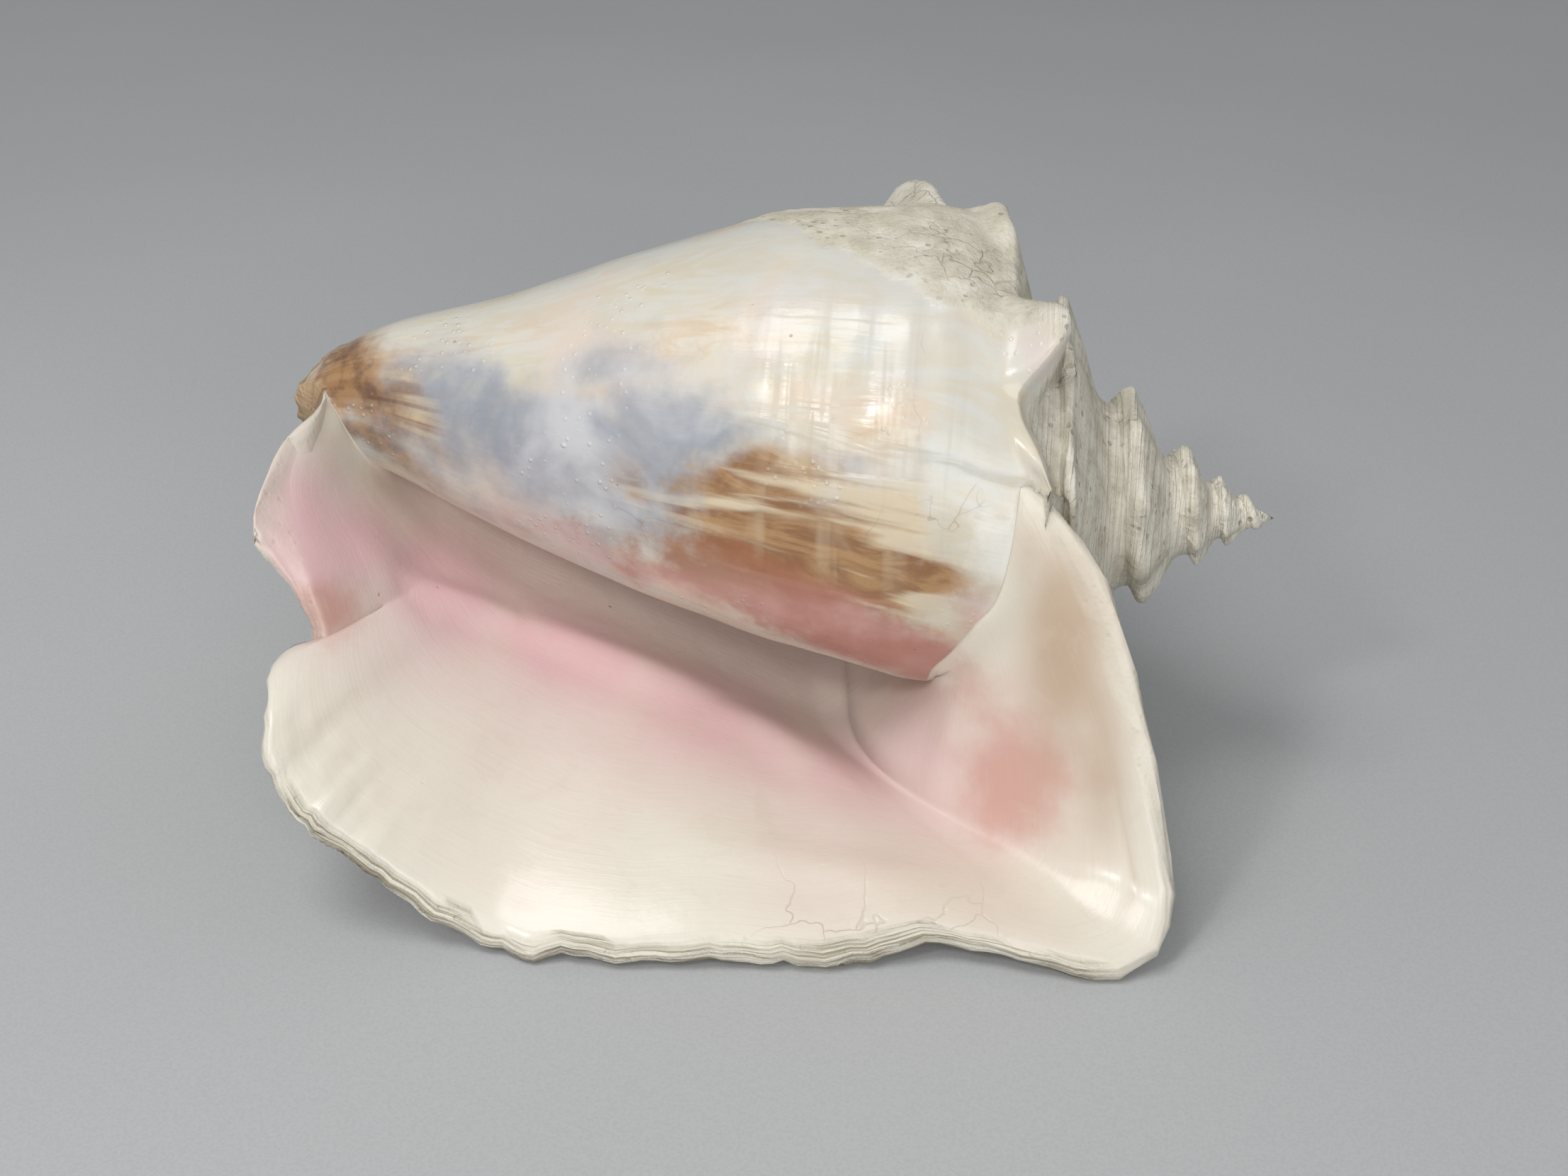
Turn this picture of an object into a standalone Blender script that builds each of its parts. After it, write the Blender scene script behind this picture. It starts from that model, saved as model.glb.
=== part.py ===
"""A conch shell, grown as one piece: spire, knobbed shoulder, body whorl, canal and flared lip.

Metres, +Z up. The shell lies on the margin of its lip and on one knob of its back, with the mouth
turned to the front (-Y) and the apex to the right (+X).

The surface is described around the shell's own axis, in millimetres. A turn is counted back from
the lip: 0 is the lip, -1 is where the last whorl starts, one full turn earlier. Turn -1 and turn 0
both face the front of the mouth, -0.75 the top, -0.5 the back and -0.25 the underside.
A row runs across the whorl: 0 is the suture, 1 the shoulder, 2 just below it, 3 the canal's end.
"""

import math

import bmesh
import bpy
import numpy as np

MM = 0.001

# Pose of the shell on its surface: the apex, the axis towards the canal, and the way the mouth faces
APEX = (113.56, -2.57, 64.4)
AXIS = (-0.9937, 0.1100, 0.0216)
MOUTH_TILT = math.radians(28)

# Resolution
COLUMNS_PER_TURN = 40
FIRST_TURN = -6.5
RAMP_ROWS = 5
SHOULDER_ROWS = 3
BODY_ROWS = 22
MOUTH_DEPTH = 0.85  # how far the hollow runs back into the shell, in turns

# The shoulder of the whorls: turn, distance from the apex along the axis, radius
SHOULDER = [
    (-6.5, 2.0, 0.8), (-6.0, 5.0, 3.2), (-5.75, 7.0, 4.4), (-4.75, 12.6, 8.4),
    (-4.0, 18.0, 12.6), (-3.75, 20.6, 14.4), (-3.0, 30.2, 22.6), (-2.75, 33.6, 26.0),
    (-2.0, 46.5, 40.0), (-1.75, 50.0, 43.5), (-1.25, 52.0, 47.0), (-1.0, 52.5, 50.5),
]
LAST_SHOULDER = [
    (-1.0, 52.5), (-0.965, 58.5), (-0.93, 61.0), (-0.87, 61.5), (-0.78, 65.0), (-0.72, 80.0),
    (-0.66, 92.0), (-0.54, 100.0),
    (-0.42, 103.0), (-0.28, 96.0), (0.0, 80.0),
]
SUTURE_STEP = 0.17  # a suture lies this share of the distance from the apex below the shoulder
LAST_SUTURE = [(-1.0, 49.9), (-0.75, 53.8), (-0.5, 56.0), (-0.25, 56.5), (0.0, 56.0)]
SUTURE_RADIUS = [(-6.5, 0.85), (-3.0, 0.86), (-1.6, 0.93), (-1.0, 0.985), (0.0, 1.0)]

# The body whorl against distance from the apex: radius at the front, height of the centre above the
# axis, growth in radius over each quarter turn, and more growth over the back half
BODY_RADIUS = [
    (45, 49), (56, 51), (64, 52), (80, 53.5), (92, 52), (112, 49), (130, 43.8), (150, 37.5),
    (182, 25), (208, 15.5), (219, 10.7), (230, 3.5),
]
BODY_CENTRE = [
    (45, 0), (56, 0.3), (64, 1.5), (74, 4), (92, 6), (112, 8), (150, 11), (182, 13),
    (208, 15.5), (219, 14.5), (230, 9),
]
BODY_GROWTH = [
    (45, 5.8), (74, 7.0), (92, 6.8), (112, 6.3), (150, 2.8), (182, 1), (208, 0.3), (230, 0),
]
BACK_GROWTH = [(45, 0), (112, 0), (150, 11), (182, 20), (208, 15), (219, 8), (230, 0)]
INNER_SHRINK = 0.4  # how much narrower the whorl before the last one gets, deep inside

# Where the wall inside the mouth meets the whorl before it: turn, distance from the apex
INNER_SUTURE = [
    (-0.85, 74), (-0.6, 78), (-0.25, 76.5), (-0.18, 75), (-0.14, 70.5), (-0.105, 66),
    (-0.086, 62.5), (-0.064, 60.5), (-0.033, 59.2), (0.0, 58.6),
]
# Where the canal ends: turn, distance from the apex
CANAL_END = [
    (-1.85, 188), (-1.6, 194), (-1.3, 206), (-1.1, 214), (-1.0, 219), (-0.9, 225),
    (-0.75, 229.5), (-0.5, 229.5), (-0.28, 221), (0.0, 216),
]

# The margin of the lip from the suture round to the canal: row, then along the axis, down, forward
LIP = [
    (0.00, 56.0, 0.0, 50.8), (0.15, 48.5, 10.7, 49.0), (0.32, 39.0, 24.0, 46.0),
    (0.55, 31.0, 44.0, 43.5), (0.86, 23.0, 70.0, 41.0), (1.00, 20.5, 82.0, 39.5),
    (1.30, 25.5, 95.5, 45.0), (1.60, 36.0, 99.5, 48.0), (2.00, 52.0, 97.5, 46.5),
    (2.06, 68.6, 95.8, 45.0), (2.15, 95.0, 101.5, 49.0), (2.23, 116.0, 101.3, 50.0),
    (2.30, 135.0, 104.0, 52.0), (2.36, 152.0, 104.0, 51.0), (2.41, 164.0, 101.5, 49.5),
    (2.46, 175.0, 97.8, 50.7), (2.51, 187.0, 91.0, 53.5), (2.60, 204.0, 79.0, 55.5),
    (2.66, 212.0, 66.0, 55.0), (2.72, 213.5, 53.0, 46.0), (2.77, 209.5, 43.5, 35.0),
    (2.82, 212.0, 33.0, 41.0), (2.88, 221.0, 20.0, 46.0), (2.92, 221.0, 10.0, 36.0),
    (2.96, 216.0, 3.0, 24.0), (3.00, 217.0, -5.0, 13.0),
]
FLARE_START = -0.30  # the turn at which the wall starts to leave the round whorl for the lip
FLARE_ROOT = 0.55  # how far the wall carries its round course into the flare
FLARE_EDGE = (0.9, 1.1, 0.5)  # how the flare runs out at the margin: along, down, forward

# Walls: turn, thickness
WALL = [(-0.85, 4.0), (-0.3, 5.0), (-0.12, 5.5), (0.0, 4.2)]
KNOB_HOLLOW = 0.2  # how much of a knob's height shows as a hollow inside

# Knobs on the shoulder of the last whorl: turn, height, half width in turns
LAST_KNOBS = [
    (-1.0, 4.0, 0.045), (-0.905, 9.0, 0.042), (-0.785, 6.5, 0.045), (-0.68, 18.0, 0.06),
    (-0.555, 16.0, 0.055), (-0.42, 19.5, 0.065), (-0.3, 4.0, 0.045),
]
SPIRE_KNOBS_PER_TURN = 9
SPIRE_KNOB_HEIGHT = 0.09  # of the radius
LEANING_TURNS = (-1.0, -0.79)  # the knobs of the front lean towards the apex
KNOB_LEAN = 1.15  # how far they lean, for their height


def smooth_through(points, x, column=1):
    """A smooth curve through a few (x, y, ...) points, flat beyond its ends."""
    xs = [point[0] for point in points]
    ys = [point[column] for point in points]
    if x <= xs[0]:
        return ys[0]
    if x >= xs[-1]:
        return ys[-1]
    i = max(k for k in range(len(xs) - 1) if xs[k] <= x)
    slopes = [(ys[k + 1] - ys[k]) / (xs[k + 1] - xs[k]) for k in range(len(xs) - 1)]

    def slope_at(k):
        if k in (0, len(xs) - 1):
            return slopes[min(k, len(slopes) - 1)]
        before, after = slopes[k - 1], slopes[k]
        if before * after <= 0:
            return 0.0
        return 2 * before * after / (before + after)

    width = xs[i + 1] - xs[i]
    f = (x - xs[i]) / width
    a = (2 * f ** 3 - 3 * f ** 2 + 1) * ys[i] + (3 * f ** 2 - 2 * f ** 3) * ys[i + 1]
    b = (f ** 3 - 2 * f ** 2 + f) * slope_at(i) + (f ** 3 - f ** 2) * slope_at(i + 1)
    return a + b * width


def ease(x):
    x = min(1.0, max(0.0, x))
    return x * x * (3 - 2 * x)


def bump(x):
    """A round bump of height 1 at 0 that ends at -1 and 1."""
    return (1 - x * x) ** 2 if abs(x) < 1 else 0.0


def shoulder(turn):
    """(distance from the apex, radius) of the shoulder between its knobs."""
    if turn <= -1:
        return smooth_through(SHOULDER, turn), smooth_through(SHOULDER, turn, 2)
    station = smooth_through(LAST_SHOULDER, turn)
    return station, body_radius(turn, station)


def suture(turn):
    if turn >= -1:
        station = smooth_through(LAST_SUTURE, turn)
    else:
        station = shoulder(turn - 1)[0] * (1 + SUTURE_STEP * ease((-turn - 1) / 1.5 + 0.25))
    if turn >= 0:
        return station, body_radius(turn - 1, station)
    return station, shoulder(turn - 1)[1] * smooth_through(SUTURE_RADIUS, turn)


def body_radius(turn, station):
    """The body whorl's radius around its own centre line."""
    quarter = 4 * (turn + 1)
    radius = smooth_through(BODY_RADIUS, station) + quarter * smooth_through(BODY_GROWTH, station)
    if quarter > 1:
        radius += smooth_through(BACK_GROWTH, station) * min(1.5, (quarter - 1) / 2) ** 1.5
    return radius * (1 - INNER_SHRINK * ease((-quarter - 0.8) / 1.4))


def around_axis(turn, station, radius):
    """(along the axis, down, forward) of a point on the round part of the shell."""
    angle = 2 * math.pi * turn
    centre = smooth_through(BODY_CENTRE, station) * ease((turn + 2.0) / 1.0)
    return np.array([station, -centre - radius * math.sin(angle), radius * math.cos(angle)])


def knob_height(turn, row):
    if turn < -1:
        phase = (turn * SPIRE_KNOBS_PER_TURN + 0.5) % 1 - 0.5
        height = shoulder(turn)[1] * SPIRE_KNOB_HEIGHT * bump(phase / 0.42)
        height *= ease((turn + 6.3) / 1.2)
    else:
        height = sum(top * bump((turn - at) / half) for at, top, half in LAST_KNOBS)
    if row < 1:
        return height * bump((1 - row) / 0.75)
    if turn < -1:
        return height * bump((row - 1) / 1.1)
    return height * bump((row - 1) / 1.45)


def lip(row):
    return np.array([smooth_through(LIP, row, column) for column in (1, 2, 3)])


def lower_station(turn):
    """Where row 2 lies: the next suture on the spire, a little below the shoulder on the body."""
    if turn <= -1:
        return suture(turn + 1)[0]
    gap = suture(0)[0] - shoulder(-1)[0]
    return shoulder(turn)[0] + gap + 7 * ease((turn + 1) / 0.4)


def wall_course(turn, row):
    """(distance from the apex, radius) of the outer surface, without its flare and its knobs."""
    station, radius = shoulder(turn)
    if row <= 1:
        start, start_radius = suture(turn)
        at = start + (station - start) * row ** 0.85
        return at, start_radius + (radius - start_radius) * row ** 1.8
    low = lower_station(turn)
    if row > 2:
        at = low + (smooth_through(CANAL_END, turn) - low) * (row - 2)
        return at, body_radius(turn, at)
    at = station + (low - station) * (row - 1)
    if turn > -1:
        return at, body_radius(turn, at)
    return at, radius + (suture(turn + 1)[1] - radius) * (row - 1) ** 1.4


def round_point(turn, row, knobs=1.0):
    """The outer surface as if the whorl went on round without flaring."""
    at, radius = wall_course(turn, row)
    height = knobs * knob_height(turn, row)
    start, end = LEANING_TURNS
    lean = KNOB_LEAN * ease((turn - start) / 0.05) * ease((end - turn) / 0.07) * ease(row / 0.5)
    return around_axis(turn, at - lean * height, radius + height)


def outer(turn, row, knobs=1.0):
    """A point of the outer surface, in millimetres along the axis, down and forward."""
    point = round_point(turn, row, knobs)
    if turn <= FLARE_START:
        return point
    share = (turn - FLARE_START) / -FLARE_START
    step = 0.001
    root, end = round_point(FLARE_START, row, knobs), lip(row)
    carry = (round_point(FLARE_START + step, row, knobs) - root) * (-FLARE_START / step) * FLARE_ROOT
    run_out = (end - root) * np.array(FLARE_EDGE)
    flare = ((2 * share ** 3 - 3 * share ** 2 + 1) * root
             + (share ** 3 - 2 * share ** 2 + share) * carry
             + (3 * share ** 2 - 2 * share ** 3) * end
             + (share ** 3 - share ** 2) * run_out)
    hugging = point + share ** 2 * (end - round_point(0.0, row, knobs))
    return hugging + (flare - hugging) * ease(row / 0.45)


def parietal(turn, share):
    """The wall of the whorl before the lip, from the inner suture (0) to the canal's end (1)."""
    start = smooth_through(INNER_SUTURE, turn + 1)
    at = start + (smooth_through(CANAL_END, turn) - start) * share
    return around_axis(turn, at, body_radius(turn, at))


def inner(turn, row):
    """The inside of the outer wall, one wall thickness in from the outer surface."""
    small_turn, small_row = 0.004, 0.02
    early, late = turn - small_turn, min(0.0, turn + small_turn)
    low, high = max(0.0, row - small_row), min(3.0, row + small_row)
    along = outer(late, row, KNOB_HOLLOW) - outer(early, row, KNOB_HOLLOW)
    across = outer(turn, high, KNOB_HOLLOW) - outer(turn, low, KNOB_HOLLOW)
    normal = np.cross(along, across)
    length = np.linalg.norm(normal)
    wall = smooth_through(WALL, turn)
    point = outer(turn, row, KNOB_HOLLOW) - (normal / length if length > 1e-9 else normal) * wall
    seam = parietal(turn - 1, 0.0)
    corner = 1.1 + 0.5 * ease((-turn - 0.1) / 0.2)
    point = seam + (point - seam) * ease(row / corner) ** 0.8
    end = parietal(turn - 1, 1.0)
    return end + (point - end) * ease((3 - row) / 0.22)


def to_world():
    """The matrix rows that turn (along the axis, down, forward) into world millimetres."""
    axis = np.array(AXIS) / np.linalg.norm(AXIS)
    facing = np.array([0.0, -math.cos(MOUTH_TILT), math.sin(MOUTH_TILT)])
    facing -= facing.dot(axis) * axis
    facing /= np.linalg.norm(facing)
    return np.array([axis, np.cross(facing, axis), facing])


class ShellGrid:
    """Collects the shell's vertices and faces, one vertex for each turn and row."""

    def __init__(self, columns, ramp, below, body):
        self.columns = columns
        self.rows = ([k / ramp for k in range(ramp)]
                     + [1 + k / below for k in range(below + 1)]
                     + [2 + (k + 1) / body for k in range(body)])
        self.short = ramp + below
        self.last = len(self.rows) - 1
        self.points = []
        self.faces = []
        self.index = {}

    def vertex(self, key, make):
        if key not in self.index:
            self.index[key] = len(self.points)
            self.points.append(make())
        return self.index[key]

    def face(self, *corners):
        distinct = [c for k, c in enumerate(corners) if c != corners[k - 1]][::-1]
        if len(set(distinct)) >= 3:
            self.faces.append(distinct)

    def outside(self, column, row):
        first = round(FIRST_TURN * self.columns)
        if row == self.short and column <= -self.columns:
            return self.outside(column + self.columns, 0)
        if column == first or (row == 0 and column <= first + self.columns):
            return self.vertex("apex", lambda: np.array([0.0, 0.0, 0.0]))
        if column == -self.columns and row > self.short:
            return self.wall_inside(0, row)
        turn = column / self.columns
        return self.vertex(("out", column, row), lambda: outer(turn, self.rows[row]))

    def wall_inside(self, column, row):
        """The wall of the earlier whorl, under the mouth, at the column of the lip above it."""
        share = (row - self.short - 1) / (self.last - self.short - 1)
        turn = column / self.columns - 1
        return self.vertex(("wall", column, row), lambda: parietal(turn, share))

    def inside(self, column, row):
        if row == 0:
            return self.wall_inside(column, self.short + 1)
        if row == self.last:
            return self.wall_inside(column, self.last)
        turn = column / self.columns
        return self.vertex(("in", column, row), lambda: inner(turn, self.rows[row]))

    def build(self):
        first = round(FIRST_TURN * self.columns)
        deep = -round(MOUTH_DEPTH * self.columns)
        for column in range(first, 0):
            top = self.short if column < -self.columns else self.last
            for row in range(top):
                self.face(self.outside(column, row), self.outside(column, row + 1),
                          self.outside(column + 1, row + 1), self.outside(column + 1, row))
        for column in range(deep, 0):
            for row in range(self.last):
                self.face(self.inside(column, row), self.inside(column + 1, row),
                          self.inside(column + 1, row + 1), self.inside(column, row + 1))
            for row in range(self.short + 1, self.last):
                self.face(self.wall_inside(column, row), self.wall_inside(column, row + 1),
                          self.wall_inside(column + 1, row + 1), self.wall_inside(column + 1, row))
        for row in range(self.last):
            self.face(self.outside(0, row), self.outside(0, row + 1),
                      self.inside(0, row + 1), self.inside(0, row))
        self.close_depth(deep)
        self.close_canal()

    def close_depth(self, column):
        """The deep end of the hollow: a band between its two walls."""
        span = self.last - self.short - 1
        lower = 0
        for row in range(self.last):
            target = round((row + 1) * span / self.last)
            near, far = self.inside(column, row), self.inside(column, row + 1)
            start = self.wall_inside(column, self.short + 1 + lower)
            self.face(near, far, start)
            if target > lower:
                end = self.wall_inside(column, self.short + 1 + target)
                self.face(start, far, end)
            lower = target

    def close_canal(self):
        rim = [self.outside(column, self.last) for column in range(-self.columns, 1)]
        centre = np.mean([self.points[k] for k in rim], axis=0)
        tip = self.vertex("canal tip", lambda: centre)
        for k, corner in enumerate(rim):
            self.face(corner, tip, rim[(k + 1) % len(rim)])


def shell_material():
    material = bpy.data.materials.new("shell_calcite")
    material.use_nodes = True
    surface = material.node_tree.nodes["Principled BSDF"]
    surface.inputs["Base Color"].default_value = (0.78, 0.66, 0.56, 1)
    surface.inputs["Roughness"].default_value = 0.35
    surface.inputs["Metallic"].default_value = 0.0
    return material


def build_shell():
    grid = ShellGrid(COLUMNS_PER_TURN, RAMP_ROWS, SHOULDER_ROWS, BODY_ROWS)
    grid.build()
    apex = np.array(APEX)
    world = apex + np.array(grid.points) @ to_world()
    world[:, 2] = np.maximum(world[:, 2], 0.0)
    mesh = bpy.data.meshes.new("shell")
    mesh.from_pydata([tuple(point) for point in world * MM], [], grid.faces)
    shape = bmesh.new()
    shape.from_mesh(mesh)
    bmesh.ops.triangulate(shape, faces=shape.faces)
    shape.to_mesh(mesh)
    shape.free()
    mesh.shade_smooth()
    shell = bpy.data.objects.new("shell", mesh)
    shell.data.materials.append(shell_material())
    bpy.context.scene.collection.objects.link(shell)
    return shell


def main():
    for old in list(bpy.data.objects):
        bpy.data.objects.remove(old, do_unlink=True)
    build_shell()


main()
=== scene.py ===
import math

import bpy
import numpy as np
from mathutils import Matrix, Vector, noise


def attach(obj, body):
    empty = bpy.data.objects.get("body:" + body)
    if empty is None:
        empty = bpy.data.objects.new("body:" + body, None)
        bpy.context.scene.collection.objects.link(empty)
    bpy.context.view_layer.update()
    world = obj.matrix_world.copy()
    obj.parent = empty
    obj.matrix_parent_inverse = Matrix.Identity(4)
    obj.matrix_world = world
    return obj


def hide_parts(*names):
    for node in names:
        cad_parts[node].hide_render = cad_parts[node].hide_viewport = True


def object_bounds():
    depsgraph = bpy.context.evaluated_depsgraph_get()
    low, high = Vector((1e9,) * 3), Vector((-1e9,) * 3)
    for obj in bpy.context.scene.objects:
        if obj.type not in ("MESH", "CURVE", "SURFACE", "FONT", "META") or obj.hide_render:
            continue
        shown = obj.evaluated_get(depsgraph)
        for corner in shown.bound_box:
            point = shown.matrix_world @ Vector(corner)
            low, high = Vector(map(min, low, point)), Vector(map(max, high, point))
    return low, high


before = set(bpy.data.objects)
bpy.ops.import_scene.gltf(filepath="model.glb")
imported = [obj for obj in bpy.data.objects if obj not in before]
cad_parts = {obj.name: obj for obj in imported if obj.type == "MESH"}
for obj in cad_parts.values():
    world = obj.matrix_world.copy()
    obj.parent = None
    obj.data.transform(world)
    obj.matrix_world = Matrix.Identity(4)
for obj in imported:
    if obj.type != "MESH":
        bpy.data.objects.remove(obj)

CAD_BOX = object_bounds()
MM = 0.001

# Pose of the shell on its surface, in millimetres: apex, axis towards the canal, way the mouth faces
APEX = (113.56, -2.57, 64.4)
AXIS = (-0.9937, 0.1100, 0.0216)
MOUTH_TILT = math.radians(28)

# Camera: the point it looks at and its distance in millimetres, its height angle and its lens
LOOK_AT = (2.36, -1.67, 46.0)
LOOK_DISTANCE = 500.0
LOOK_DOWN = math.radians(28)
LENS = 49.62
SENSOR_WIDTH = 36.0
CLIP_START = 0.01
VIEW_UNITS = 3049.0  # front view units per unit of distance, for placing marks on the front
VIEW_MIDDLE = (1106.0, 829.5)

# Resolution
COLUMNS_PER_TURN = 208
RAMP_ROWS = 11
SHOULDER_ROWS = 8
BODY_ROWS = 100
EDGE_LAYERS = 8

# In turns: where the spire begins, counted from the lip, and how far back the hollow goes
FIRST_TURN = -6.5
MOUTH_DEPTH = 0.85

# The surfaces that vertices belong to
KINDS = ["apex", "out", "wall", "in", "edge", "canal"]

# The shoulder of the whorls: turn, distance from the apex along the axis, radius
SHOULDER = [
    (-6.5, 2.0, 0.8), (-6.0, 5.0, 3.2), (-5.75, 7.0, 4.4), (-4.75, 12.6, 8.4),
    (-4.0, 18.0, 12.6), (-3.75, 20.6, 14.4), (-3.0, 30.2, 22.6), (-2.75, 33.6, 26.0),
    (-2.0, 46.5, 40.0), (-1.75, 50.0, 43.5), (-1.25, 52.0, 47.0), (-1.0, 52.5, 50.5),
]
LAST_SHOULDER = [
    (-1.0, 52.5), (-0.965, 58.5), (-0.93, 61.0), (-0.87, 61.5), (-0.78, 65.0), (-0.72, 80.0),
    (-0.66, 92.0), (-0.54, 100.0), (-0.42, 103.0), (-0.28, 96.0), (0.0, 80.0),
]

# The seam between whorls: how far it lies beyond the shoulder before, as a share, then turn
# against distance from the apex, and turn against the share of that shoulder's radius
SUTURE_STEP = 0.17
LAST_SUTURE = [(-1.0, 49.9), (-0.75, 53.8), (-0.5, 56.0), (-0.25, 56.5), (0.0, 56.0)]
SUTURE_RADIUS = [(-6.5, 0.85), (-3.0, 0.86), (-1.6, 0.93), (-1.0, 0.985), (0.0, 1.0)]

# The body whorl against distance from the apex
BODY_RADIUS = [
    (45, 49), (56, 51), (64, 52), (80, 53.5), (92, 52), (112, 49), (130, 43.8), (150, 37.5),
    (182, 25), (208, 15.5), (219, 10.7), (230, 3.5),
]
BODY_CENTRE = [
    (45, 0), (56, 0.3), (64, 1.5), (74, 4), (92, 6), (112, 8), (150, 11), (182, 13),
    (208, 15.5), (219, 14.5), (230, 9),
]
BODY_GROWTH = [
    (45, 5.8), (74, 7.0), (92, 6.8), (112, 6.3), (150, 2.8), (182, 1), (208, 0.3), (230, 0),
]
BACK_GROWTH = [(45, 0), (112, 0), (150, 11), (182, 20), (208, 15), (219, 8), (230, 0)]
INNER_SHRINK = 0.4

# The wall behind the mouth: turn against the distance where it begins and where the canal ends
INNER_SUTURE = [
    (-0.85, 74), (-0.6, 78), (-0.25, 76.5), (-0.18, 75), (-0.14, 70.5), (-0.105, 66),
    (-0.086, 62.5), (-0.064, 60.5), (-0.033, 59.2), (0.0, 58.6),
]
CANAL_END = [
    (-1.85, 188), (-1.6, 194), (-1.3, 206), (-1.1, 214), (-1.0, 219), (-0.9, 225),
    (-0.75, 229.5), (-0.5, 229.5), (-0.28, 221), (0.0, 216),
]

# The margin of the lip: row, then along the axis, down, forward
LIP = [
    (0.00, 56.0, 0.0, 50.8), (0.15, 48.5, 10.7, 49.0), (0.32, 39.0, 24.0, 46.0),
    (0.55, 31.0, 44.0, 43.5), (0.86, 23.0, 70.0, 41.0), (1.00, 20.5, 82.0, 39.5),
    (1.30, 25.5, 95.5, 45.0), (1.60, 36.0, 99.5, 48.0), (2.00, 52.0, 97.5, 46.5),
    (2.06, 68.6, 95.8, 45.0), (2.15, 95.0, 101.5, 49.0), (2.23, 116.0, 101.3, 50.0),
    (2.30, 135.0, 104.0, 52.0), (2.36, 152.0, 104.0, 51.0), (2.41, 164.0, 101.5, 49.5),
    (2.46, 175.0, 97.8, 50.7), (2.51, 187.0, 91.0, 53.5), (2.60, 204.0, 79.0, 55.5),
    (2.66, 212.0, 66.0, 55.0), (2.72, 213.5, 53.0, 46.0), (2.77, 209.5, 43.5, 35.0),
    (2.82, 212.0, 33.0, 41.0), (2.88, 221.0, 20.0, 46.0), (2.92, 221.0, 10.0, 36.0),
    (2.96, 216.0, 3.0, 24.0), (3.00, 217.0, -5.0, 13.0),
]

# The flare, from this turn to the lip, and the thickness of the wall by turn
FLARE_START = -0.30
FLARE_ROOT = 0.55
FLARE_EDGE = (0.9, 1.1, 0.5)
WALL = [(-0.85, 4.0), (-0.3, 5.0), (-0.12, 5.5), (0.0, 4.2)]
KNOB_HOLLOW = 0.2  # how much of a knob's height shows inside

# Knobs of the last whorl: turn, height in millimetres, half width in turns
LAST_KNOBS = [
    (-1.0, 4.0, 0.045), (-0.905, 9.0, 0.042), (-0.785, 6.5, 0.045), (-0.68, 18.0, 0.06),
    (-0.555, 16.0, 0.055), (-0.42, 19.5, 0.065), (-0.3, 4.0, 0.045),
]
SPIRE_KNOBS_PER_TURN = 9
SPIRE_KNOB_HEIGHT = 0.09  # as a share of the shoulder's radius
LEANING_TURNS = (-1.0, -0.79)
KNOB_LEAN = 1.15

# The lip's broken margin, in millimetres: how far it wanders, how far its layers stand out
CHIP_DEPTH = 1.5
LAYER_WANDER = 0.6
LAYER_STEP = 0.3
EDGE_SWELL = 0.22  # as a share of the thickness
LAYERS_PER_TURN = 550  # carries the layers' lines on over the inner face
BROKEN_ROWS = (1.45, 2.66)  # where along the margin it is broken
BROKEN_WIDTH = 0.009  # in turns
BROKEN_WANDER = 0.006

# Irregular lumps: spacing in millimetres, octaves, offset
ROUGH_LUMPS = (14.0, 4, 3.0)
FINE_LUMPS = (3.2, 4, 9.0)
BROAD_LUMPS = (38.0, 2, 21.0)

# Heights of the shell's relief, in millimetres
CHALK_LUMPS = 0.42
CHALK_GRAIN = 0.22
GLOSS_DENTS = 0.5
CALLUS_DENTS = 0.9
CORD_HEIGHT = 0.16
FOLD_HEIGHT = 0.7
RIPPLE_HEIGHT = 0.42
GROWTH_HEIGHT = 0.16
CHAMFER = 0.9
GROOVE_DEPTH = 0.4
COVERED_DEPTH = 1.4
APEX_ROUNDING = 0.8

# Worm holes and pinholes: across and down in front view units, radius and depth in millimetres
WORN_PLACES = [(1508, 519, 1.6, 1.4), (1363, 293, 1.0, 1.0), (1312, 285, 0.9, 0.7)]

# Where the glossy front ends and the chalky back begins: distance from the apex, turn
GLOSS_END = [
    (45, -0.92), (64, -0.908), (85, -0.885), (107, -0.84), (125, -0.78), (160, -0.715),
    (225, -0.68),
]

# Soft marks on the front, in front view units: across, down, half length, half height, slope in
# degrees, strength
BLUE_MARKS = [
    (850, 675, 110, 34, 20, 1.3), (790, 640, 290, 80, 18, 1.0), (950, 610, 120, 70, 12, 0.75),
    (700, 560, 120, 50, 20, 0.6), (860, 520, 170, 36, -10, 0.45), (1190, 655, 50, 24, 0, 0.5),
    (850, 670, 150, 45, 20, 1.0),
]
AMBER_MARKS = [
    (1150, 775, 190, 70, 14, 1.21), (1070, 690, 120, 55, 0, 0.99), (1240, 735, 90, 60, 0, 0.935),
    (1300, 812, 80, 34, 10, 0.88), (1010, 740, 90, 50, 20, 0.77),
]
# Ripples: relief, and in the amber also painted highlights along them
RIPPLE_MARKS = [(1200, 620, 120, 150, 0, 1.0), (1150, 740, 170, 90, 0, 0.8)]
RIDGE_MARKS = [
    (650, 850, 110, 19, 19, 2.4), (880, 935, 160, 20, 22, 2.6), (1095, 1040, 120, 20, 28, 2.4),
    (1550, 1245, 95, 20, 37, 1.8), (455, 1150, 75, 20, -55, 1.6), (510, 1215, 60, 18, -60, 1.0),
    (1180, 1225, 170, 26, 8, 1.2), (1345, 1040, 80, 22, -70, 1.6), (540, 800, 60, 26, 60, 1.4),
    (620, 690, 60, 16, 30, 0.8),
]
PEACH_MARKS = [
    (590, 500, 130, 55, -20, 1.0), (760, 450, 200, 40, -15, 0.7), (980, 480, 120, 60, 0, 0.6),
    (1260, 620, 120, 60, 0, 0.5),
]
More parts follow.
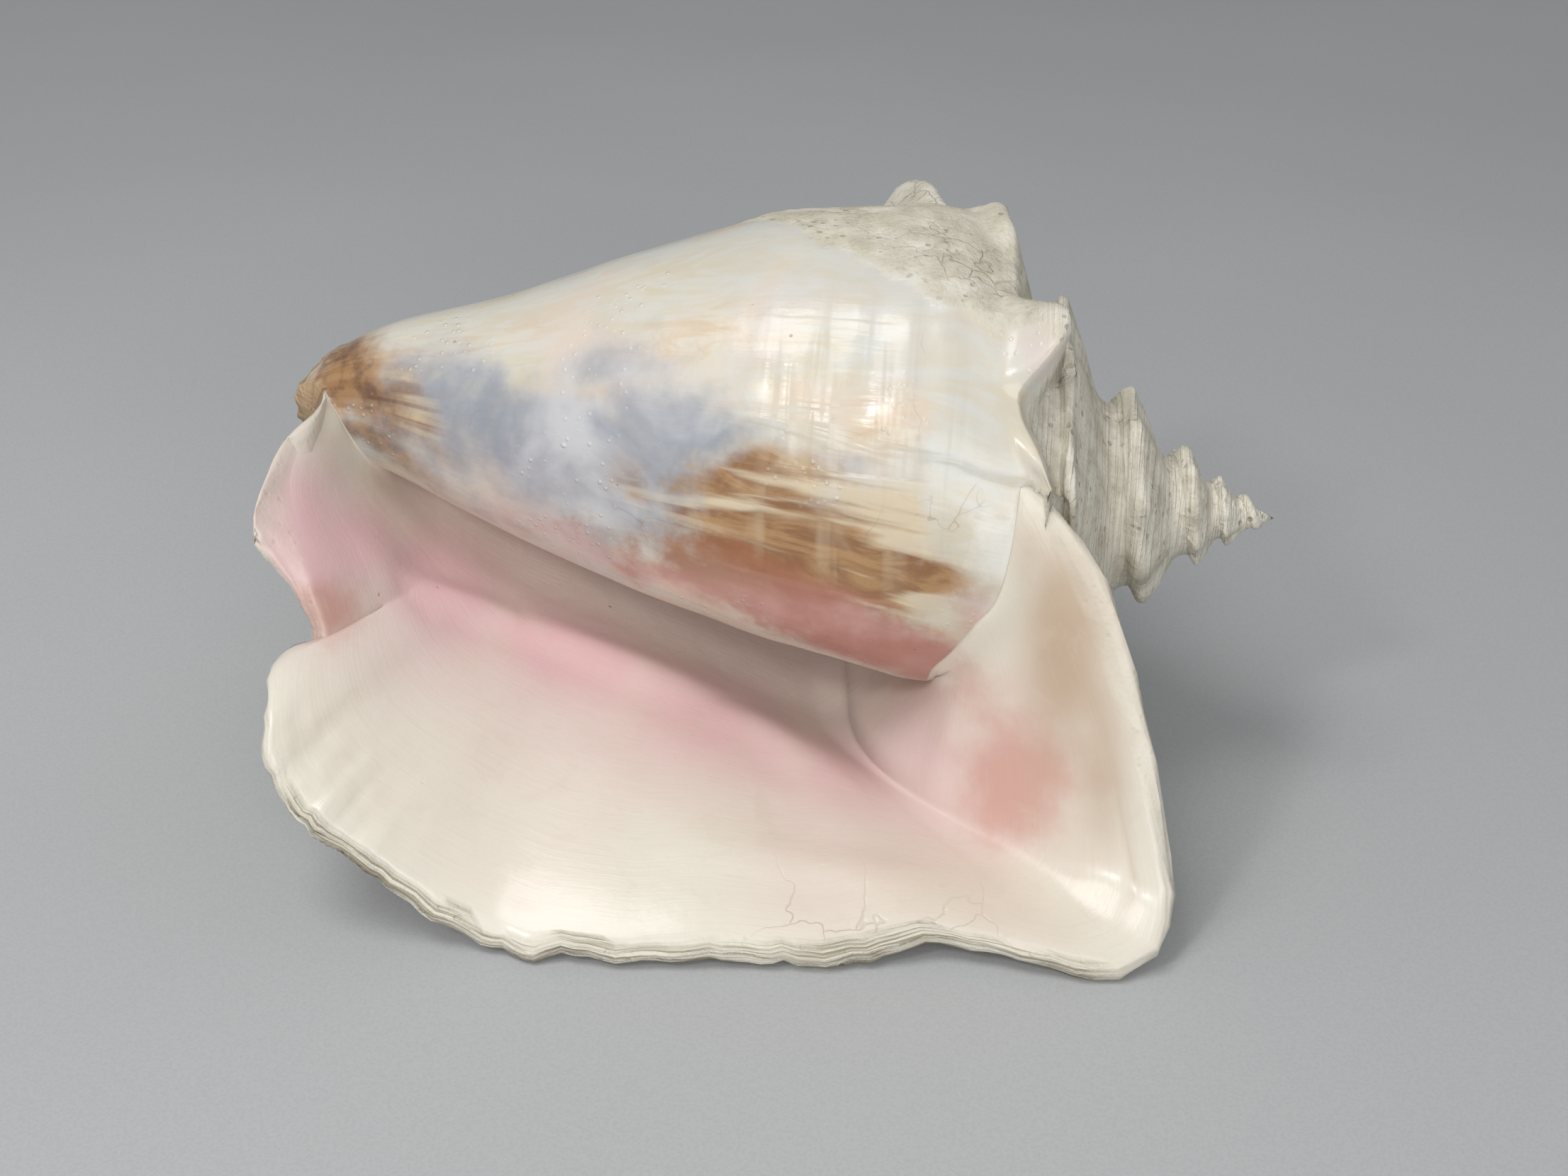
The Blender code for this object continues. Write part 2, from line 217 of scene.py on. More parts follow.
OCHRE_MARKS = [(1070, 822, 190, 45, 22, 1.0), (900, 770, 120, 26, 20, 0.5)]
ROSE_MARKS = [
    (1100, 860, 130, 26, 22, 0.8), (1200, 890, 170, 46, 23, 1.0), (1310, 950, 60, 55, 0, 1.0),
    (1385, 870, 45, 80, -60, 0.5), (900, 800, 260, 26, 22, 0.6),
]
BROWN_MARKS = [
    (480, 604, 60, 20, 10, 0.9), (560, 645, 100, 18, 38, 0.8), (690, 728, 110, 12, 22, 0.5),
    (430, 565, 45, 45, 0, 0.5), (520, 560, 90, 45, 35, 0.75), (490, 530, 85, 48, -35, 1.0),
]
ORANGE_MARKS = [
    (430, 575, 60, 60, 0, 1.0), (480, 520, 80, 50, -30, 0.8), (560, 560, 90, 50, 30, 0.6),
]
PALE_MARKS = [
    (1350, 770, 60, 24, 12, 0.5), (525, 478, 45, 18, -20, 1.0), (1400, 760, 75, 90, 0, 0.7),
]
PINK_MARKS = [
    (430, 775, 75, 115, 0, 1.0), (500, 760, 80, 70, 0, 1.0), (620, 820, 120, 75, 30, 1.0),
    (800, 915, 150, 65, 28, 0.9), (1000, 1015, 170, 65, 26, 0.8), (1180, 1085, 120, 50, 20, 0.6),
    (1310, 1060, 60, 130, 0, 0.4),
]
BLUSH_MARKS = [
    (850, 975, 460, 115, 20, 1.0), (1300, 1100, 160, 140, 0, 0.9), (440, 760, 90, 120, 0, 0.8),
]
SALMON_MARKS = [
    (1435, 1100, 85, 95, 0, 1.0), (1390, 980, 60, 90, -60, 0.5), (460, 860, 55, 45, 0, 0.9),
]
BRITTLE_MARKS = [(1180, 1300, 230, 55, 2, 1.0), (700, 1290, 120, 40, 15, 0.5)]
BEIGE_MARKS = [
    (1500, 900, 60, 150, 0, 1.0), (1555, 1080, 40, 120, 0, 0.7), (1460, 780, 40, 80, 0, 0.6),
    (1340, 1265, 170, 60, 12, 0.4), (1490, 1310, 60, 50, 0, 0.25),
]

# Stains in the mouth, in this order: colour, share, the mark's name, where its outline begins and
# ends, how far the outline wanders, its scale. The beige one also darkens the groove along the
# margin as painted shade
MOUTH_STAINS = [
    ((224, 204, 198), 0.8, "blush", 0.05, 0.9, 0.1, 30.0),
    ((223, 176, 182), 0.8, "pink", 0.1, 1.0, 0.12, 30.0),
    ((206, 154, 141), 0.8, "salmon", 0.15, 0.9, 0.15, 90.0),
    ((188, 161, 134), 0.85, "beige", 0.0, 1.0, 0.07, 22.0),
]

# Finish: roughness of the glossy front, of the mouth and of the chalky surface, from least to most
GLOSS_ROUGHNESS = (0.2, 0.36)
MOUTH_ROUGHNESS = (0.26, 0.38)
CHALK_ROUGHNESS = (0.72, 0.95)
COAT = 0.2
COAT_ROUGHNESS = 0.15
BUMP_STRENGTH = 0.75
BUMP_DISTANCE = 0.0006
GRAIN_RADIUS = 45.0  # turns the coil's turns into about millimetres
GRAIN_PER_LAYER = 2.0

# Studio, in metres: the floor, and the lights' name, place, size, power and colour
FLOOR_HALF = 15.0
FLOOR_LEVEL = -0.0002
LIGHT_TARGET = (0.0, 0.0, 0.03)
LIGHTS = [
    ("key", (-0.42, -0.2, 1.15), 0.6, 5.3, (1.0, 0.99, 0.975)),
    ("sparkle", (-0.6, -0.7, 0.85), 0.16, 2.2, (1.0, 1.0, 1.0)),
    ("fill", (0.1, -1.2, 0.55), 1.0, 7.2, (1.0, 0.99, 0.98)),
]
SKY_COLOR = (0.96, 0.98, 1.0, 1.0)
SKY_STRENGTH = 0.36


def smooth_through(points, x, column=1):
    """Smooth curves through a few (x, y, ...) points, flat beyond their ends."""
    table = np.array(points, dtype=float)
    xs, ys = table[:, 0], table[:, column]
    x = np.clip(np.asarray(x, dtype=float), xs[0], xs[-1])
    i = np.clip(np.searchsorted(xs, x, side="right") - 1, 0, len(xs) - 2)
    width = np.diff(xs)
    slope = np.diff(ys) / width
    before, after = slope[:-1], slope[1:]
    same_way = before * after > 0
    total = np.where(same_way, before + after, 1.0)
    at = np.concatenate([slope[:1], np.where(same_way, 2 * before * after / total, 0.0), slope[-1:]])
    f = (x - xs[i]) / width[i]
    a = (2 * f ** 3 - 3 * f ** 2 + 1) * ys[i] + (3 * f ** 2 - 2 * f ** 3) * ys[i + 1]
    b = (f ** 3 - 2 * f ** 2 + f) * at[i] + (f ** 3 - f ** 2) * at[i + 1]
    return a + b * width[i]


def ease(x):
    x = np.clip(x, 0.0, 1.0)
    return x * x * (3 - 2 * x)


def bump(x):
    return np.where(np.abs(x) < 1, (1 - x * x) ** 2, 0.0)


def wander(x, spacing, seed):
    """Smooth irregular values between -1 and 1 along a line."""
    values = np.random.RandomState(seed).uniform(-1, 1, 4096)
    at = np.asarray(x, dtype=float) / spacing + 1000.0
    low = np.floor(at).astype(int)
    share = ease(at - low)
    return values[low % 4096] * (1 - share) + values[(low + 1) % 4096] * share


def body_radius(turn, station):
    """Radius of the body whorl at a turn and a distance from the apex."""
    quarter = 4 * (turn + 1)
    radius = smooth_through(BODY_RADIUS, station) + quarter * smooth_through(BODY_GROWTH, station)
    back = np.clip((quarter - 1) / 2, 0.0, 1.5) ** 1.5
    radius = radius + smooth_through(BACK_GROWTH, station) * back
    return radius * (1 - INNER_SHRINK * ease((-quarter - 0.8) / 1.4))


def shoulder(turn):
    """Distance from the apex and radius of the shoulder."""
    last = smooth_through(LAST_SHOULDER, turn)
    station = np.where(turn <= -1, smooth_through(SHOULDER, turn), last)
    radius = np.where(turn <= -1, smooth_through(SHOULDER, turn, 2), body_radius(turn, last))
    return station, radius


def suture(turn):
    """Distance from the apex and radius of the seam with the whorl before."""
    earlier_station, earlier_radius = shoulder(turn - 1)
    step = 1 + SUTURE_STEP * ease((-turn - 1) / 1.5 + 0.25)
    last = smooth_through(LAST_SUTURE, turn)
    station = np.where(turn >= -1, last, earlier_station * step)
    radius = earlier_radius * smooth_through(SUTURE_RADIUS, turn)
    return station, np.where(turn >= 0, body_radius(turn - 1, last), radius)


def around_axis(turn, station, radius):
    """Points along the axis, down and forward."""
    angle = 2 * math.pi * turn
    centre = smooth_through(BODY_CENTRE, station) * ease(turn + 2.0)
    return np.stack([station, -centre - radius * np.sin(angle), radius * np.cos(angle)], axis=-1)


def knob_height(turn, row):
    """How far the knobs stand out, in millimetres."""
    phase = (turn * SPIRE_KNOBS_PER_TURN + 0.5) % 1 - 0.5
    spire = shoulder(turn)[1] * SPIRE_KNOB_HEIGHT * bump(phase / 0.42) * ease((turn + 6.3) / 1.2)
    last = sum(top * bump((turn - at) / half) for at, top, half in LAST_KNOBS)
    height = np.where(turn < -1, spire, last)
    above = bump((1 - row) / 0.75)
    below = np.where(turn < -1, bump((row - 1) / 1.1), bump((row - 1) / 1.45))
    return height * np.where(row < 1, above, below)


def lip(row):
    return np.stack([smooth_through(LIP, row, column) for column in (1, 2, 3)], axis=-1)


def lower_station(turn):
    gap = suture(np.array(0.0))[0] - shoulder(np.array(-1.0))[0]
    body = shoulder(turn)[0] + gap + 7 * ease((turn + 1) / 0.4)
    return np.where(turn <= -1, suture(turn + 1)[0], body)


def wall_course(turn, row):
    """Distance from the apex and radius of a whorl's wall without its knobs."""
    station, radius = shoulder(turn)
    start, start_radius = suture(turn)
    up = np.clip(row, 0.0, 1.0)
    ramp_at = start + (station - start) * up ** 0.85
    ramp_radius = start_radius + (radius - start_radius) * up ** 1.8
    low = lower_station(turn)
    canal_at = low + (smooth_through(CANAL_END, turn) - low) * (row - 2)
    below = np.clip(row - 1, 0.0, 1.0)
    middle_at = station + (low - station) * below
    spire_radius = radius + (suture(turn + 1)[1] - radius) * below ** 1.4
    at = np.where(row <= 1, ramp_at, np.where(row > 2, canal_at, middle_at))
    round_radius = body_radius(turn, at)
    middle_radius = np.where(turn > -1, round_radius, spire_radius)
    return at, np.where(row <= 1, ramp_radius, np.where(row > 2, round_radius, middle_radius))


def round_point(turn, row, knobs=1.0):
    """A point of the coil without the lip's flare."""
    at, radius = wall_course(turn, row)
    height = knobs * knob_height(turn, row)
    start, end = LEANING_TURNS
    lean = KNOB_LEAN * ease((turn - start) / 0.05) * ease((end - turn) / 0.07) * ease(row / 0.5)
    return around_axis(turn, at - lean * height, radius + height)


def chips(row):
    """How far the broken margin stands back or out, in millimetres, along its length."""
    worn = 0.5 * wander(row, 0.012, 3) + 0.35 * wander(row, 0.045, 5)
    bites = np.minimum(0.0, wander(row, 0.03, 8) + 0.35)
    steady = ease((row - 0.3) / 0.6)
    return CHIP_DEPTH * (worn + 1.2 * bites) * steady * ease((3 - row) / 0.06)


def outer(turn, row, knobs=1.0):
    """A point of the outside, where the last stretch flares out to the lip."""
    point = round_point(turn, row, knobs)
    start = np.full_like(turn, FLARE_START)
    share = np.clip((turn - FLARE_START) / -FLARE_START, 0.0, 1.0)[..., None]
    step = 0.001
    root, end = round_point(start, row, knobs), lip(row)
    carry = (round_point(start + step, row, knobs) - root) * (-FLARE_START / step) * FLARE_ROOT
    run_out = (end - root) * np.array(FLARE_EDGE)
    outward = run_out / np.maximum(np.linalg.norm(run_out, axis=-1, keepdims=True), 1e-6)
    end = end + outward * (chips(row) * ease((turn + 0.02) / 0.02))[..., None]
    flare = ((2 * share ** 3 - 3 * share ** 2 + 1) * root
             + (share ** 3 - 2 * share ** 2 + share) * carry
             + (3 * share ** 2 - 2 * share ** 3) * end
             + (share ** 3 - share ** 2) * run_out)
    hugging = point + share ** 2 * (end - round_point(np.zeros_like(turn), row, knobs))
    flared = hugging + (flare - hugging) * ease(row / 0.45)[..., None]
    return np.where((turn > FLARE_START)[..., None], flared, point)


def parietal(turn, share):
    """The wall of the whorl before the lip, at a turn counted on that earlier whorl."""
    start = smooth_through(INNER_SUTURE, turn + 1)
    at = start + (smooth_through(CANAL_END, turn) - start) * share
    return around_axis(turn, at, body_radius(turn, at))


def inner(turn, row):
    """A point of the inside: the lip's inner face and the hollow."""
    small_turn, small_row = 0.004, 0.02
    early, late = turn - small_turn, np.minimum(0.0, turn + small_turn)
    low, high = np.maximum(0.0, row - small_row), np.minimum(3.0, row + small_row)
    along = outer(late, row, KNOB_HOLLOW) - outer(early, row, KNOB_HOLLOW)
    across = outer(turn, high, KNOB_HOLLOW) - outer(turn, low, KNOB_HOLLOW)
    normal = np.cross(along, across)
    normal /= np.maximum(np.linalg.norm(normal, axis=-1, keepdims=True), 1e-9)
    point = outer(turn, row, KNOB_HOLLOW) - normal * smooth_through(WALL, turn)[..., None]
    seam = parietal(turn - 1, np.zeros_like(turn))
    corner = 1.1 + 0.5 * ease((-turn - 0.1) / 0.2)
    point = seam + (point - seam) * (ease(row / corner) ** 0.8)[..., None]
    end = parietal(turn - 1, np.ones_like(turn))
    return end + (point - end) * ease((3 - row) / 0.22)[..., None]


def to_world():
    """The frame's directions of the shell's three axes: along, down, forward."""
    axis = np.array(AXIS) / np.linalg.norm(AXIS)
    facing = np.array([0.0, -math.cos(MOUTH_TILT), math.sin(MOUTH_TILT)])
    facing -= facing.dot(axis) * axis
    facing /= np.linalg.norm(facing)
    return np.array([axis, np.cross(facing, axis), facing])


class ShellGrid:
    """The shell's faces, and its vertices, each known by its surface, column and row."""

    def __init__(self, columns, ramp, below, body, layers):
        self.columns = columns
        self.rows = ([k / ramp for k in range(ramp)]
                     + [1 + k / below for k in range(below + 1)]
                     + [2 + (k + 1) / body for k in range(body)])
        self.short = ramp + below
        self.last = len(self.rows) - 1
        self.layers = layers
        self.keys = []
        self.faces = []
        self.index = {}

    def vertex(self, key):
        found = self.index.get(key)
        if found is None:
            found = len(self.keys)
            self.index[key] = found
            self.keys.append(key)
        return found

    def face(self, *corners):
        distinct = [c for k, c in enumerate(corners) if c != corners[k - 1]][::-1]
        if len(set(distinct)) >= 3:
            self.faces.append(distinct)

    def outside(self, column, row):
        first = round(FIRST_TURN * self.columns)
        if row == self.short and column <= -self.columns:
            return self.outside(column + self.columns, 0)
        if column == first or (row == 0 and column <= first + self.columns):
            return self.vertex(("apex", 0, 0))
        if column == -self.columns and row > self.short:
            return self.wall_inside(0, row)
        return self.vertex(("out", column, row))

    def wall_inside(self, column, row):
        return self.vertex(("wall", column, row))

    def inside(self, column, row):
        if row == 0:
            return self.wall_inside(column, self.short + 1)
        if row == self.last:
            return self.wall_inside(column, self.last)
        return self.vertex(("in", column, row))

    def margin(self, layer, row):
        if layer == 0:
            return self.outside(0, row)
        if layer == self.layers:
            return self.inside(0, row)
        return self.vertex(("edge", layer, row))

    def build(self):
        first = round(FIRST_TURN * self.columns)
        deep = -round(MOUTH_DEPTH * self.columns)
        for column in range(first, 0):
            top = self.short if column < -self.columns else self.last
            for row in range(top):
                self.face(self.outside(column, row), self.outside(column, row + 1),
                          self.outside(column + 1, row + 1), self.outside(column + 1, row))
        for column in range(deep, 0):
            for row in range(self.last):
                self.face(self.inside(column, row), self.inside(column + 1, row),
                          self.inside(column + 1, row + 1), self.inside(column, row + 1))
            for row in range(self.short + 1, self.last):
                self.face(self.wall_inside(column, row), self.wall_inside(column, row + 1),
                          self.wall_inside(column + 1, row + 1), self.wall_inside(column + 1, row))
        for row in range(self.last):
            for layer in range(self.layers):
                self.face(self.margin(layer, row), self.margin(layer, row + 1),
                          self.margin(layer + 1, row + 1), self.margin(layer + 1, row))
        self.close_depth(deep)
        self.close_canal()

    def close_depth(self, column):
        span = self.last - self.short - 1
        lower = 0
        for row in range(self.last):
            target = round((row + 1) * span / self.last)
            near, far = self.inside(column, row), self.inside(column, row + 1)
            start = self.wall_inside(column, self.short + 1 + lower)
            self.face(near, far, start)
            for k in range(lower, target):
                self.face(self.wall_inside(column, self.short + 1 + k), far,
                          self.wall_inside(column, self.short + 2 + k))
            lower = target

    def close_canal(self):
        rim = [self.outside(column, self.last) for column in range(-self.columns, 1)]
        tip = self.vertex(("canal", 0, 0))
        for k, corner in enumerate(rim):
            self.face(corner, tip, rim[(k + 1) % len(rim)])


def place_vertices(grid):
    """Positions in shell millimetres, with the turn, the row and the surface of every vertex."""
    kind = np.array([KINDS.index(key[0]) for key in grid.keys])
    is_kind = {name: kind == k for k, name in enumerate(KINDS)}
    column = np.array([key[1] for key in grid.keys], dtype=float)
    number = np.array([key[2] for key in grid.keys])
    rows = np.array(grid.rows)
    points = np.zeros((len(kind), 3))
    turn = column / grid.columns
    row = rows[number]
    chosen = is_kind["out"]
    points[chosen] = outer(turn[chosen], row[chosen])
    chosen = is_kind["in"]
    points[chosen] = inner(turn[chosen], row[chosen])
    chosen = is_kind["wall"]
    share = (number[chosen] - grid.short - 1) / (grid.last - grid.short - 1)
    turn[chosen] -= 1
    row[chosen] = 2 + share
    points[chosen] = parietal(turn[chosen], share)
    chosen = is_kind["edge"]
    layer = column[chosen] / grid.layers
    zero = np.zeros(int(chosen.sum()))
    first, second = outer(zero, row[chosen]), inner(zero, row[chosen])
    seam = number[chosen] == 0
    second[seam] = parietal(zero[seam] - 1, zero[seam])
    across = second - first
    thick = np.linalg.norm(across, axis=-1)
    run_out = first - outer(zero - 0.02, row[chosen])
    run_out /= np.maximum(np.linalg.norm(run_out, axis=-1, keepdims=True), 1e-6)
    swell = np.sin(math.pi * layer) * EDGE_SWELL * thick
    layered = LAYER_WANDER * wander(row[chosen] + 3 * column[chosen], 0.04, 11)
    layered += LAYER_STEP * (column[chosen] % 2)
    points[chosen] = (first + across * layer[:, None]
                      + run_out * (swell + layered * np.minimum(1.0, thick / 3))[:, None])
    turn[chosen] = 0.0
    rim = [grid.outside(k, grid.last) for k in range(-grid.columns, 1)]
    canal, apex = is_kind["canal"], is_kind["apex"]
    points[canal] = points[rim].mean(axis=0)
    row[canal], turn[canal] = 3.0, -0.7
    row[apex], turn[apex] = 0.0, FIRST_TURN
    carried_on = np.where(is_kind["in"], grid.layers - turn * LAYERS_PER_TURN, 0.0)
    return points, is_kind, turn, row, np.where(is_kind["edge"], column, carried_on)


def front_view(world):
    """Where millimetre positions lie on the front view: across and down, in front view units."""
    up = np.array([0.0, math.sin(LOOK_DOWN), math.cos(LOOK_DOWN)])
    away = np.array([0.0, math.cos(LOOK_DOWN), -math.sin(LOOK_DOWN)])
    seen = world - np.array(LOOK_AT)
    scale = VIEW_UNITS / (LOOK_DISTANCE + seen @ away)
    return VIEW_MIDDLE[0] + seen[:, 0] * scale, VIEW_MIDDLE[1] - (seen @ up) * scale


def marks(across, down, places):
    """How strongly each place of the front view is marked."""
    total = np.zeros_like(across)
    for x, y, long, high, slope, strength in places:
        angle = math.radians(slope)
        right, low = across - x, down - y
        a = (right * math.cos(angle) + low * math.sin(angle)) / long
        b = (low * math.cos(angle) - right * math.sin(angle)) / high
        total = np.maximum(total, strength * np.exp(-(a * a + b * b) * 0.8))
    return total


def roughness_of(world, spacing, octaves, offset):
    """Irregular heights between about -1 and 1 at millimetre positions."""
    shift = Vector((offset, offset * 0.7, -offset))
    return np.array([
        noise.fractal(Vector(point) / spacing + shift, 1.0, 2.0, octaves) for point in world
    ])


def crater(world, centre, radius, depth):
    """Heights of a small hole with a raised rim."""
    distance = np.linalg.norm(world - np.array(centre), axis=1) / radius
    return -depth * np.exp(-distance ** 4) + 0.35 * depth * np.exp(-((distance - 1.35) / 0.35) ** 2)


def read_normals(mesh):
    found = np.empty(len(mesh.vertices) * 3, dtype=np.float32)
    mesh.vertices.foreach_get("normal", found)
    return found.reshape(-1, 3).astype(float)


def nearest_to(v, normals, x, y):
    """The vertex that shows at one place of the front view."""
    seen = -normals[:, 1] > 0.1
    distance = (v.across - x) ** 2 + (v.down - y) ** 2 + np.where(seen, 0, 1e9)
    near = v.world[np.argsort(distance)[:12]]
    return near[np.argmin(near[:, 1] - math.tan(LOOK_DOWN) * near[:, 2])]


class Vertices:
    """Where each vertex is, and the irregular values that its relief and its colours share."""

    def __init__(self, grid):
        points, is_kind, self.turn, self.row, self.layer = place_vertices(grid)
        self.station = points[:, 0]
        self.world = np.array(APEX) + points @ to_world()
        self.across, self.down = front_view(self.world)
        self.outside = is_kind["apex"] | is_kind["out"] | is_kind["canal"]
        self.wall, self.lip, self.edge = is_kind["wall"], is_kind["in"], is_kind["edge"]
        in_mouth = (self.lip | self.edge).astype(float)
        self.inside = np.where(self.wall, ease((-1.19 - self.turn) / 0.05), in_mouth)
        self.rough = roughness_of(self.world, *ROUGH_LUMPS)
        self.fine = roughness_of(self.world, *FINE_LUMPS)
        self.broad = roughness_of(self.world, *BROAD_LUMPS)
        first, last = BROKEN_ROWS
        self.broken_rows = ease((self.row - first) / 0.15) * ease((last - self.row) / 0.06)
        width = BROKEN_WIDTH + BROKEN_WANDER * wander(self.row, 0.04, 29)
        self.broken_face = ease((self.turn + width) / 0.003) * self.broken_rows
        # A groove along the margin: sunk in the relief, and made darker in the colour as painted
        # shade
        near_edge = np.exp(-((self.turn + 0.024) / 0.005) ** 2)
        self.groove = 0.5 * near_edge * bump((self.row - 1.0) / 0.4)
        self.matt = self.chalkiness()

    def chalkiness(self):
        """1 where the surface is chalky, 0 where it is glossy."""
        boundary = smooth_through(GLOSS_END, self.station) + 0.012 * self.rough
        back = np.where(self.turn < -1, 1.0, ease((self.turn - boundary) / 0.014 + 0.5))
        above_shoulder = 1 - ease((self.row - 0.72 + 0.1 * self.rough) / 0.12)
        matt = np.where(self.outside, np.maximum(back, above_shoulder), 0.0)
        matt = np.where(self.outside & (self.row >= 3.0), 0.6, matt)
        matt = np.where(self.lip, self.broken_face, matt)
        matt = np.where(self.edge, 0.25 + 0.75 * self.broken_rows, matt)
        return np.where(self.outside & (self.turn > -0.03) & (self.row > 2.66), 0.4, matt)

    def marked(self, places):
        return marks(self.across, self.down, places)


def general_relief(v):
    """Lumps, dents, cords, ripples, growth lines and the rounded keels, in millimetres."""
    gloss = 1 - v.matt
    spire = v.outside & (v.turn < -1)
    height = v.matt * (CHALK_LUMPS * v.rough + CHALK_GRAIN * v.fine) * np.where(spire, 0.55, 1.0)
    callus_dents = CALLUS_DENTS * bump((v.station - 80) / 55) * v.outside
    height += gloss * (GLOSS_DENTS + callus_dents) * v.broad + gloss * 0.08 * v.rough
    before_lip = v.outside & (v.turn < -0.3)
    cords = np.where(before_lip, np.cos(2 * math.pi * v.row * 6.5 + 1.5 * v.rough), 0.0)
    height += CORD_HEIGHT * cords * bump((v.row - 1) / 0.95) * v.matt * ease(v.station / 12)
    phase = v.station * 0.62 + 2.5 * v.broad + 0.8 * v.rough + v.turn * 14
    ripples = np.where(v.wall | v.outside, np.sin(phase), 0.0)
    ripples *= bump((v.station - 88) / 40) * gloss * (0.5 + 0.5 * wander(v.turn * 40, 1.0, 23))
    growth = wander(v.turn * 360 + 2.0 * v.rough + v.station * 0.02, 1.1, 17)
    height += RIPPLE_HEIGHT * ripples + GROWTH_HEIGHT * growth * v.matt * ease(v.row - 0.9)
    rounding = 0.9 * bump((v.row - 0.6) / 0.42) + bump((v.row - 1.45) / 0.45)
    rounding -= 0.6 * bump((v.row - 1) / 0.25)
    height += spire * rounding * ease(v.station / 45)
    lumpy = v.outside & (v.turn > -1) & (v.row < 2)
    height += lumpy * v.matt * (0.55 * v.rough + 0.8 * v.broad) * bump(v.row - 1)
    canal_tip = ease((v.station - 214) / 8) * v.outside
    return height + canal_tip * (v.fine + 0.6 * v.rough)


def lip_relief(v):
    """Dents, folds, ridges and the broken margin of the inner face, in millimetres."""
    folds = ease((v.turn + 0.11) / 0.09) * bump((v.row - 2.6) / 0.12)
    folds = folds * np.sin(v.row * 190 + 4 * v.rough)
    chamfer = CHAMFER * ease((v.turn + 0.011) / 0.009) * v.broken_rows
    height = 0.45 * v.broad + 0.08 * v.rough + FOLD_HEIGHT * folds + 0.1 * v.fine * v.matt
    return height + v.marked(RIDGE_MARKS) - chamfer - 2 * GROOVE_DEPTH * v.groove


def relief(v, normals):
    """How far each vertex stands out from the plain shape, in millimetres."""
    height = np.where(v.lip, lip_relief(v), general_relief(v))
    height = np.where(v.edge, 0.22 * v.fine + 0.15 * v.rough, height)
    covered = v.outside * ease((v.turn + 1.2) / 0.05) * ease((-0.985 - v.turn) / 0.01)
    covered = covered * ease((v.row - 1.02) / 0.15) * ease((1.95 - v.row) / 0.2)
    height = height * (1 - covered) - COVERED_DEPTH * covered
    height *= ease(v.station / 6)
    height += v.outside * APEX_ROUNDING * ease(v.station / 3) * bump((v.station - 5) / 7)
    for x, y, radius, depth in WORN_PLACES:
        height += crater(v.world, nearest_to(v, normals, x, y), radius, depth) * v.outside
    return height


def paint_values(v):
    """The values between 0 and about 1 that the material reads, by name."""
    not_inside = 1 - v.inside
    front = np.where(v.outside, ease(1.4 - np.abs(v.turn + 1) * 8), 1.0)
    callus = not_inside * (1 - v.matt) * front
    deep = np.where(v.lip, ease((-v.turn - 0.2) / 0.25), 0.0)
    crazed = bump((v.station - 75) / 60) * ease((v.turn + 0.95) / 0.05)
    return {
        "matt": v.matt,
        "inside": v.inside,
        "blue": v.marked(BLUE_MARKS) * callus,
        "amber": v.marked(AMBER_MARKS) * callus,
        "ochre": v.marked(OCHRE_MARKS) * callus,
        "rose": v.marked(ROSE_MARKS) * callus,
        "pale": v.marked(PALE_MARKS) * callus,
        "peach": v.marked(PEACH_MARKS) * callus,
        "ripple": v.marked(RIPPLE_MARKS) * callus,
        "brown": v.marked(BROWN_MARKS) * not_inside,
        "orange": v.marked(ORANGE_MARKS) * not_inside,
        "blush": v.marked(BLUSH_MARKS) * v.inside,
        "pink": v.marked(PINK_MARKS) * v.inside,
        "salmon": v.marked(SALMON_MARKS) * v.inside,
        # beige also darkens the groove along the margin: painted shade in the groove
        "beige": np.maximum(v.marked(BEIGE_MARKS), 0.9 * v.groove) * v.inside,
        "brittle": v.marked(BRITTLE_MARKS) * v.inside,
        # deep: how far into the hollow; the mouth is painted paler there as painted light
        "deep": np.where(v.wall, v.inside, deep),
        "margin": np.where(v.inside > 0.5, ease((v.turn + 0.05) / 0.05), 0.0),
        "edge": np.where(v.edge, v.broken_rows, v.broken_face * v.lip),
        "crazed": np.where(v.outside, crazed, 0.0),
        # spire: the spire's region; its chalk is painted paler there as painted light, and it
        # carries the cords
        "spire": np.where(v.outside, ease((62 - v.station) / 10) * (v.turn < -0.6), 0.0),
    }


def build_shell():
    grid = ShellGrid(COLUMNS_PER_TURN, RAMP_ROWS, SHOULDER_ROWS, BODY_ROWS, EDGE_LAYERS)
    grid.build()
    v = Vertices(grid)
    mesh = bpy.data.meshes.new("shell_visual")
    mesh.from_pydata([tuple(point) for point in v.world * MM], [], grid.faces)
    normals = read_normals(mesh)
    world = v.world + normals * relief(v, normals)[:, None]
    world[:, 2] = np.maximum(world[:, 2], 0.0)
    low, high = (np.array(corner) / MM for corner in CAD_BOX)
    world = np.minimum(np.maximum(world, low), high)
    mesh.vertices.foreach_set("co", (world * MM).ravel())
    mesh.shade_smooth()
    for name, value in paint_values(v).items():
        data = mesh.attributes.new(name, "FLOAT", "POINT").data
        data.foreach_set("value", np.ascontiguousarray(value, dtype=np.float32))
    around = v.turn * 2 * math.pi * GRAIN_RADIUS
    grain = np.stack([v.station, around, v.layer * GRAIN_PER_LAYER], axis=-1)
    data = mesh.attributes.new("grain", "FLOAT_VECTOR", "POINT").data
    data.foreach_set("vector", grain.astype(np.float32).ravel())
    shell = bpy.data.objects.new("shell_visual", mesh)
    bpy.context.scene.collection.objects.link(shell)
    return shell


def tone(red, green, blue):
    """A colour given as 0 to 255 display values, as the linear values that a shader takes."""
    def linear(value):
        value /= 255
        return value / 12.92 if value <= 0.04045 else ((value + 0.055) / 1.055) ** 2.4
    return linear(red), linear(green), linear(blue), 1.0


